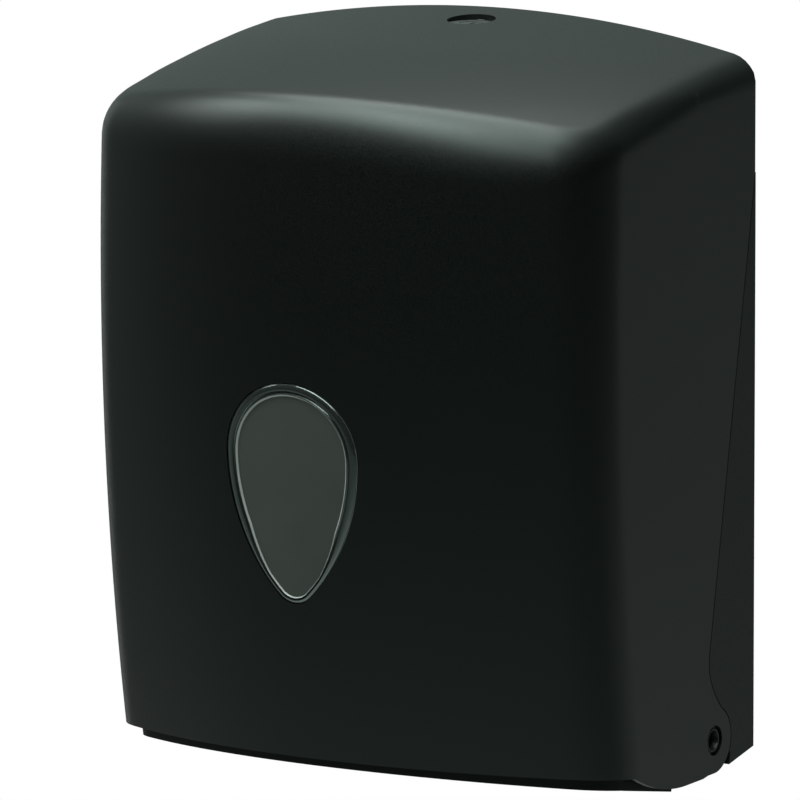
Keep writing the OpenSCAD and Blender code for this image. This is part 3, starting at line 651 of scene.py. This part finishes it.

# %% [markdown]
# The lens is a stack of drop-shaped rings. Each says how far it grows past the opening, how deep
# it lies behind the front and which finish leads up to it. From the flange behind the cover they
# step out to the rim, over a bead and a groove, and down to the pane, with small bevels between so
# that every step catches its own line of light. Two thin rings, at the bead's outer edge and at the
# pane's edge, take a pale finish: a painted highlight for the bright lines there. The bead stands
# 0.4 mm proud. Towards the tip the rim narrows to half its width, and inside the rim the rings
# shrink to the middle.

# %% Window lens
# The third finish is a painted highlight: pale rings that stand for lines of light on the rim.
RIM, PANE, HIGHLIGHT_LINE = 0, 1, 2
RIM_W, TIP_SHARE, TIP_FADE = 8.0, 0.5, 22.0
LENS_RINGS = [
    (4.0, 4.5, RIM),
    (4.0, 3.2, RIM),
    (3.8, 3.0, RIM),
    (-0.3, 3.0, RIM),
    (-0.3, 0.83, RIM),
    (-0.5, 0.53, HIGHLIGHT_LINE),
    (-1.2, 0.08, RIM),
    (-2.2, -0.27, RIM),
    (-3.2, -0.42, RIM),
    (-3.8, -0.27, RIM),
    (-4.1, 0.33, RIM),
    (-4.5, 0.63, RIM),
    (-4.9, 0.33, RIM),
    (-5.2, -0.07, RIM),
    (-5.6, -0.07, RIM),
    (-6.4, 0.73, HIGHLIGHT_LINE),
    (-6.8, 0.88, PANE),
    (-8.0, 0.83, PANE),
    (-14.0, 0.73, PANE),
    (-24.0, 0.63, PANE),
]


def front_y(x, z):
    u = FRONT_SIDE_R - BOW_R + np.sqrt(BOW_R**2 - np.asarray(x) ** 2)
    return FRONT_SIDE_R - BODY_D - np.sqrt(u**2 - (np.asarray(z) - FULLEST_Z) ** 2)


def ring_outline(grow):
    base = np.array(drop_outline(0.0))
    normal = np.array(drop_outline(1.0)) - base
    tip_share = TIP_SHARE if grow < 0 else 1.0
    tip_z = WINDOW_Z - tip_v
    narrow = np.interp(base[:, 1], (tip_z, tip_z + TIP_FADE), (tip_share, 1.0))
    rim = max(grow, -RIM_W)
    outline = base + normal * (rim * narrow)[:, None] - (0.0, WINDOW_Z)
    return outline * (HEAD_R + grow) / (HEAD_R + rim) + (0.0, WINDOW_Z)


def lens_mesh():
    points, faces, kinds = [], [], []
    for grow, depth, _ in LENS_RINGS:
        points += [(u, float(front_y(u, v)) + depth, v) for u, v in ring_outline(grow)]
    count = len(window)
    last = (len(LENS_RINGS) - 1) * count
    for a, (_, _, kind) in zip(range(0, last, count), LENS_RINGS[1:]):
        for i in range(count):
            j = (i + 1) % count
            faces.append((a + i, a + j, a + count + j, a + count + i))
            kinds.append(kind)
    for base, (_, depth, kind), flip in ((last, LENS_RINGS[-1], False), (0, LENS_RINGS[0], True)):
        hub = len(points)
        points.append((0.0, float(front_y(0.0, WINDOW_Z)) + depth, WINDOW_Z))
        for i in range(count):
            j = (i + 1) % count
            faces.append((base + j, base + i, hub) if flip else (base + i, base + j, hub))
            kinds.append(kind)
    return points, faces, kinds


points, faces, kinds = lens_mesh()
lens = outward(new_piece("window_moulding", points, faces))
lens_finishes = [rim_smoke, pane_smoke, painted_highlight_smoke]
finish_piece(lens, lens_finishes, "cover", "smoked_clear", "window_lens", crisp=24)
for face, kind in zip(lens.data.polygons, kinds):
    face.material_index = kind
print("lens faces", len(lens.data.polygons))

# %% [markdown]
# The small screws are all alike: four hold the shelf and two hold the keeper. One is turned from a
# profile of radius and height, with a point, five rounds of thread and a pan head, and a cross is
# cut into the head.

# %% One pan head screw
SCREW_R, SCREW_HEAD_R, SCREW_HEAD_H, SCREW_L = 1.5, 3.0, 2.0, 8.0
POINT_R, POINT_L = 0.7, 1.5
THREADS, THREAD_START, THREAD_PITCH, THREAD_W, THREAD_DEPTH = 5, 2.0, 1.1, 0.9, 0.3
PAN_HEAD = [(SCREW_HEAD_R, 0.0), (SCREW_HEAD_R, 0.9), (2.8, 1.5), (2.2, 1.85)]
PAN_HEAD += [(1.2, SCREW_HEAD_H), (0.0, SCREW_HEAD_H)]
CROSS_L, CROSS_W, CROSS_FLOOR, CROSS_TOP = 1.9, 0.35, 1.1, 4.0
SCREW_SIDES = 20


def from_mount(u, v, y):
    return (u, -y, v + MOUNT_Z)


def pan_head_screw():
    profile = [(0.0, -SCREW_L), (POINT_R, -SCREW_L), (SCREW_R, -SCREW_L + POINT_L)]
    for turn in range(THREADS):
        z = -SCREW_L + THREAD_START + turn * THREAD_PITCH
        root = (SCREW_R - THREAD_DEPTH, z + THREAD_W / 2)
        profile += [(SCREW_R, z), root, (SCREW_R, z + THREAD_W)]
    profile += [(SCREW_R, 0.0), *PAN_HEAD]
    count, points, faces = SCREW_SIDES, [], []
    for r, z in profile:
        points += [from_mount(u, v, z) for u, v in circle(0.0, 0.0, r, count)]
    for a in range(0, (len(profile) - 1) * count, count):
        for i in range(count):
            j = (i + 1) % count
            faces.append((a + i, a + j, a + count + j, a + count + i))
    screw = outward(new_piece("pan_head_screw", points, faces), weld=True)
    for w, h in ((CROSS_L, CROSS_W), (CROSS_W, CROSS_L)):
        slot = [(-w, -h), (w, -h), (w, h), (-w, h)]
        cut(screw, prism("slot_tool", slot, CROSS_FLOOR, CROSS_TOP, from_mount))
    return screw


screw = pan_head_screw()
print("screw faces", len(screw.data.polygons))

# %% [markdown]
# A Geometry Nodes tree puts the screw on each of the six points and turns it a little by a fixed
# seed, because no fitter lines up the slots. The points come from the boxes of the solids. The
# result is made a plain mesh, since instances don't export.

# %% Screws on their points
INNER_SCREW_X = 0.040
MOST_TURN, TURN_SEED = 1.5, 4
RANDOM_LOW, RANDOM_HIGH, RANDOM_VALUE = 2, 3, 1


def centre_points(node, *inner_x):
    low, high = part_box(node)
    z = (low.z + high.z) / 2
    head = low.y + SCREW_HEAD_H / 1000
    ends = (low.x + SCREW_HEAD_R / 1000, high.x - SCREW_HEAD_R / 1000)
    return [(x, head, z) for x in (ends[0], *inner_x, ends[1])]


screw_points = centre_points("shelf_screws", -INNER_SCREW_X, INNER_SCREW_X)
screw_points += centre_points("keeper_screws")
seats = bpy.data.objects.new("screw_set", bpy.data.meshes.new("screw_set"))
seats.data.from_pydata(screw_points, [], [])
bpy.context.scene.collection.objects.link(seats)
tree = bpy.data.node_groups.new("screws_on_points", "GeometryNodeTree")
sockets = {}
for name, kind in (
    ("Geometry", "NodeSocketGeometry"),
    ("Screw", "NodeSocketObject"),
    ("Finish", "NodeSocketMaterial"),
    ("Most turn", "NodeSocketFloat"),
):
    sockets[name] = tree.interface.new_socket(name, in_out="INPUT", socket_type=kind).identifier
tree.interface.new_socket("Geometry", in_out="OUTPUT", socket_type="NodeSocketGeometry")
source = put(tree, "NodeGroupInput").outputs
model = put(tree, "GeometryNodeObjectInfo", {"Object": source["Screw"]})
turn = put(
    tree,
    "FunctionNodeRandomValue",
    {RANDOM_LOW: 0.0, RANDOM_HIGH: source["Most turn"], "Seed": TURN_SEED},
)
angles = put(tree, "ShaderNodeCombineXYZ", {"Y": turn.outputs[RANDOM_VALUE]})
spread = put(
    tree,
    "GeometryNodeInstanceOnPoints",
    {
        "Points": source["Geometry"],
        "Instance": model.outputs["Geometry"],
        "Rotation": angles.outputs["Vector"],
    },
)
real = put(tree, "GeometryNodeRealizeInstances", {"Geometry": spread.outputs["Instances"]})
dressed = put(
    tree,
    "GeometryNodeSetMaterial",
    {"Geometry": real.outputs["Geometry"], "Material": source["Finish"]},
)
put(tree, "NodeGroupOutput", {"Geometry": dressed.outputs["Geometry"]})
step = seats.modifiers.new("screws", "NODES")
step.node_group = tree
step[sockets["Screw"]] = screw
step[sockets["Finish"]] = zinc_steel
step[sockets["Most turn"]] = MOST_TURN
bake(seats, step)
bpy.data.objects.remove(screw)
finish_piece(seats, [zinc_steel], "chassis", "steel", "shelf_screws", "keeper_screws", crisp=30)
print("screws", len(screw_points), "faces", len(seats.data.polygons))

# %% [markdown]
# A hinge pin is a turned piece: a hollow end that stands in the counterbore of the ear, a thin
# flange under it, and a shank with a groove for its clip. A lathe function turns its profile
# about the hinge axis and closes both ends with a flat. The profile starts at the floor of the
# bore, and the places of the groove and the tip come from the solids.

# %% Hinge pins
TUBE_R, TUBE_BORE_R, TUBE_SUNK = 5.7, 4.8, 0.7
BORE_L, BORE_DRAFT, MOUTH_L, EDGE_EASE = 9.0, 0.6, 0.3, 0.2
FLANGE_R, FLANGE_TOP, SHANK_R, GROOVE_R = 7.0, 0.5, 5.0, 4.4
PIN_PLAY, TIP_L, TIP_EASE = 0.05, 1.0, 0.4


def lathe(name, profile, count=48):
    points, faces = [], []
    for x, r in profile:
        points += [across(u, v, x) for u, v in circle(PIN_Y, PIN_Z, r, count)]
    for ring in range(len(profile) - 1):
        a, b = ring * count, (ring + 1) * count
        faces += [(a + i, a + (i + 1) % count, b + (i + 1) % count, b + i) for i in range(count)]
    ends = (len(profile) - 1) * count
    faces += [tuple(range(count))[::-1], tuple(range(ends, ends + count))]
    return outward(new_piece(name, points, faces))


groove = [1000 * v for v in (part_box("pin_clips")[1].x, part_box("hinge_pin_right")[0].x)]
tube_end, seat_x = HALF_W - TUBE_SUNK, HALF_W - HEAD_SEAT
pin_profile = [
    (HALF_W - BORE_L, TUBE_BORE_R - BORE_DRAFT),
    (tube_end - MOUTH_L, TUBE_BORE_R),
    (tube_end, TUBE_BORE_R + EDGE_EASE),
    (tube_end, TUBE_R - EDGE_EASE),
    (tube_end - EDGE_EASE, TUBE_R),
    (seat_x + FLANGE_TOP, TUBE_R),
    (seat_x + FLANGE_TOP, FLANGE_R),
    (seat_x + PIN_PLAY, FLANGE_R),
    (seat_x + PIN_PLAY, SHANK_R),
    (groove[0] + PIN_PLAY, SHANK_R),
    (groove[0] + PIN_PLAY, GROOVE_R),
    (groove[1] + TIP_L, GROOVE_R),
    (groove[1] + TIP_L, SHANK_R),
    (groove[1] + TIP_EASE, SHANK_R),
    (groove[1], SHANK_R - TIP_EASE),
]
for side, name, node in (
    (1, "pin_turned_right", "hinge_pin_right"),
    (-1, "pin_turned_left", "hinge_pin_left"),
):
    pin = lathe(name, [(side * x, r) for x, r in pin_profile])
    finish_piece(pin, [pin_nylon], "chassis", "pin_plastic", node, crisp=30)
print("pins from", [round(g, 1) for g in groove], "to", HALF_W)

# %% [markdown]
# The back plate keeps its solid, but the seam of the cheek bends softly before it reaches the ear.
# A copy of the solid's mesh is merged, the corner in front of the bend is cut away, and a small
# gusset behind the ear closes the notch under it. Large flat faces and small rounds meet here, so
# the normals are weighted by area, which keeps the flats flat to the eye.

# %% Back plate
BEND_OUT, CHEEK_PAST, BEND_SINK = 30, 1, 0.4
GUSSET = [(20.0, -3.9), (24.4, -4.65), (34.0, -6.2), (32.0, -3.0), (26.0, 2.0), (20.0, 4.0)]
GUSSET_IN, GUSSET_OUT = 2.6, 0.3
FLAT_WEIGHT = 90


def even_shading(piece):
    step = piece.modifiers.new("even", "WEIGHTED_NORMAL")
    step.mode, step.keep_sharp, step.weight = "FACE_AREA", True, FLAT_WEIGHT
    bake(piece, step)


plate = bpy.data.objects.new("back_plate_moulding", nodes["back_plate"].data.copy())
bpy.context.scene.collection.objects.link(plate)
outward(plate, weld=True)
cheek_edge = seam_line(0.0, EAR_R + SEAM_GAP)
front_of_edge = [*cheek_edge, (PIN_Y, PIN_Z), (PIN_Y + BEND_OUT, PIN_Z)]
front_of_edge.append((PIN_Y + BEND_OUT, cheek_edge[0][1]))
cheek_x = HALF_W - WALL
for side in (-1, 1):
    bend_faces = side * (cheek_x - BEND_SINK), side * (HALF_W + CHEEK_PAST)
    cut(plate, prism("bend_tool", front_of_edge, *bend_faces, across))
    gusset_faces = side * (cheek_x - GUSSET_IN), side * (cheek_x - GUSSET_OUT)
    cut(plate, prism("gusset_tool", GUSSET, *gusset_faces, across), "UNION")
finish_piece(plate, [chassis_abs], "chassis", "chassis_abs", "back_plate", crisp=12)
even_shading(plate)
print("back plate faces", len(plate.data.polygons))

# %% [markdown]
# The other pieces have the right shape in the solids already, so they keep their meshes and only
# take a material each.

# %% Materials on the solids
FINISHES = {
    "roll_shelf": shelf_abs,
    "window_frame": chassis_abs,
    "nozzle_collar": nozzle_acetal,
    "nozzle_nut": nozzle_acetal,
    "brake_ring": nozzle_acetal,
    "tear_ring": nozzle_acetal,
    "paper_brake": seal_rubber,
    "window_seal": seal_rubber,
    "hinge_washers": washer_nylon,
    "lock_body": lock_acetal,
    "lock_plug": lock_acetal,
    "lock_nut": lock_acetal,
    "keeper_plate": zinc_steel,
    "pin_clips": zinc_steel,
    "lock_washer": zinc_steel,
    "lock_cam": zinc_steel,
    "cam_screw": zinc_steel,
}
for name, material in FINISHES.items():
    slots = nodes[name].data.materials
    slots.clear()
    slots.append(material)
print("dressed solids", len(FINISHES))

# %% [markdown]
# The stage is a pale floor, as far below as such a dispenser hangs above it. To the camera, and
# through the window, it is plain white; to everything else it is pale matt paint, so it takes a
# shadow and gives the object a soft light from below.

# %% Floor
HANG_HEIGHT = 1500.0
FLOOR_HALF = 9000.0


# Pale matt wall paint: an even white with no gloss.
def white_stage(name, hex_code):
    material, tree = new_material(name)
    rays = put(tree, "ShaderNodeLightPath").outputs
    seen = put(
        tree,
        "ShaderNodeMath",
        {0: rays["Is Camera Ray"], 1: rays["Is Transmission Ray"]},
        operation="MAXIMUM",
    )
    paint = put(tree, "ShaderNodeBsdfDiffuse", {"Color": colour(hex_code)})
    glow = put(tree, "ShaderNodeEmission", {"Color": WHITE, "Strength": 1.0})
    mixed = put(
        tree,
        "ShaderNodeMixShader",
        {0: seen.outputs[0], 1: paint.outputs["BSDF"], 2: glow.outputs["Emission"]},
    )
    put(tree, "ShaderNodeOutputMaterial", {"Surface": mixed.outputs["Shader"]})
    return material


floor_corners = ((-1, -1), (1, -1), (1, 1), (-1, 1))
floor_points = [(x * FLOOR_HALF, y * FLOOR_HALF, -HANG_HEIGHT) for x, y in floor_corners]
floor = new_piece("floor", floor_points, [(0, 1, 2, 3)])
floor.data.materials.append(white_stage("pale_floor_paint", "#f4f4f2"))
print("floor", HANG_HEIGHT, "mm below")

# %% [markdown]
# The room round the stage is white to the camera. To the object it is almost dark in front, so
# that the front stays black, and brighter behind, which the sides mirror at a low angle. It fades
# to the right, because the right side is the darker one in the picture.

# %% Room
ROOM_FRONT, ROOM_BACK, ROOM_RIGHT = 0.004, 0.29, 0.16
FRONT_Y, BACK_Y, LEFT_X, RIGHT_X = -0.3, 0.5, -0.3, 0.6
world = bpy.data.worlds.new("studio")
bpy.context.scene.world = world
world.use_nodes = True
sky = world.node_tree
sky.nodes.clear()
rays = put(sky, "ShaderNodeLightPath").outputs
heading = put(sky, "ShaderNodeTexCoord").outputs["Generated"]
split = put(sky, "ShaderNodeSeparateXYZ", {"Vector": heading}).outputs
glow = put(
    sky,
    "ShaderNodeMapRange",
    {
        "Value": split["Y"],
        FROM_LOW: FRONT_Y,
        FROM_HIGH: BACK_Y,
        TO_LOW: ROOM_FRONT,
        TO_HIGH: ROOM_BACK,
    },
)
shade = put(
    sky,
    "ShaderNodeMapRange",
    {"Value": split["X"], FROM_LOW: LEFT_X, FROM_HIGH: RIGHT_X, TO_LOW: 1.0, TO_HIGH: ROOM_RIGHT},
)
level = put(
    sky,
    "ShaderNodeMath",
    {0: glow.outputs["Result"], 1: shade.outputs["Result"]},
    operation="MULTIPLY",
)
room = put(
    sky, "ShaderNodeBackground", {"Color": colour("#e9fff9"), "Strength": level.outputs["Value"]}
)
white = put(sky, "ShaderNodeBackground", {"Color": WHITE, "Strength": 1.0})
air = put(
    sky,
    "ShaderNodeMixShader",
    {0: rays["Is Camera Ray"], 1: room.outputs["Background"], 2: white.outputs["Background"]},
)
put(sky, "ShaderNodeOutputWorld", {"Surface": air.outputs["Shader"]})
print("room from", ROOM_FRONT, "in front to", ROOM_BACK, "behind")

# %% [markdown]
# Softboxes do the rest. Three large ones hang above: one over the top, which makes it pale, a wide
# one above the front, which draws the bright band along the brow, and one at the upper left, which
# carries the band on to its left end. The others are weak: a strip behind on each side runs down a
# side edge, and a low box on each side lifts the dark there a little. A box is given by its
# radiance, so its size can change without a change in how bright it mirrors.

# %% Softboxes
BODY_MIDDLE = (0.0, -90.0, 180.0)
SOFTBOXES = [
    ("top_box", (-75.0, -150.0, 1700.0), (1950.0, 1300.0), 4.5),
    ("left_top_box", (-1410.0, -605.0, 1330.0), (900.0, 700.0), 2.6),
    ("front_top_box", (-350.0, -1070.0, 1770.0), (3300.0, 820.0), 4.4),
    ("low_right_box", (700.0, 450.0, -350.0), (500.0, 500.0), 0.2),
    ("left_rear_strip", (-1350.0, 600.0, 100.0), (80.0, 1200.0), 1.5),
    ("left_box", (-1380.0, -550.0, -200.0), (1000.0, 1200.0), 0.06),
    ("right_rear_strip", (750.0, 1070.0, -100.0), (200.0, 700.0), 0.35),
]


def aim_at(thing, place_mm, aim_mm):
    thing.location = Vector(to_row(place_mm))
    aim = Vector(to_row(aim_mm)) - thing.location
    thing.rotation_mode = "QUATERNION"
    thing.rotation_quaternion = aim.to_track_quat("-Z", "Y")
    bpy.context.scene.collection.objects.link(thing)


for name, place_mm, size_mm, radiance in SOFTBOXES:
    lamp = bpy.data.lights.new(name, "AREA")
    width, height = (side / 1000 for side in size_mm)
    lamp.shape, lamp.size, lamp.size_y = "RECTANGLE", width, height
    lamp.energy = radiance * math.pi * width * height
    aim_at(bpy.data.objects.new(name, lamp), place_mm, BODY_MIDDLE)
print("softboxes", len(SOFTBOXES))

# %% [markdown]
# The camera stands right of the front and a little above it, far away with a long lens, as the
# upright edges in the picture hardly converge. The point it looks at is not quite in the middle of
# the picture, so the aim is moved over by that many pixels.

# %% Camera
AZIMUTH, ELEVATION = math.radians(30.74), math.radians(10.046)
ROLL = math.radians(-0.16)
DISTANCE = 4368.0
FOCAL_PX, PICTURE_PX = 9108.0, 800.0
SENSOR_MM, CLIP_END = 36.0, 100.0
AIM_PX = (415.57, 399.44)
look_at = np.array([0.0, -82.9, 170.1])
away = np.array(
    [
        math.sin(AZIMUTH) * math.cos(ELEVATION),
        -math.cos(AZIMUTH) * math.cos(ELEVATION),
        math.sin(ELEVATION),
    ]
)
right = np.array([math.cos(AZIMUTH), math.sin(AZIMUTH), 0.0])
up = np.cross(away, right)
px_mm = DISTANCE / FOCAL_PX
over_px, down_px = (v - PICTURE_PX / 2 for v in AIM_PX)
centre = look_at - right * over_px * px_mm + up * down_px * px_mm
lens_data = bpy.data.cameras.new("camera")
lens_data.sensor_width = SENSOR_MM
lens_data.lens = FOCAL_PX / PICTURE_PX * SENSOR_MM
lens_data.clip_end = CLIP_END
camera = bpy.data.objects.new("camera", lens_data)
aim_at(camera, look_at + away * DISTANCE, centre)
camera.rotation_quaternion = camera.rotation_quaternion @ Quaternion((0, 0, 1), ROLL)
bpy.context.scene.camera = camera
bpy.context.scene.view_settings.view_transform = "Standard"
print("lens", round(lens_data.lens, 1), "mm at", round(DISTANCE / 1000, 2), "m")
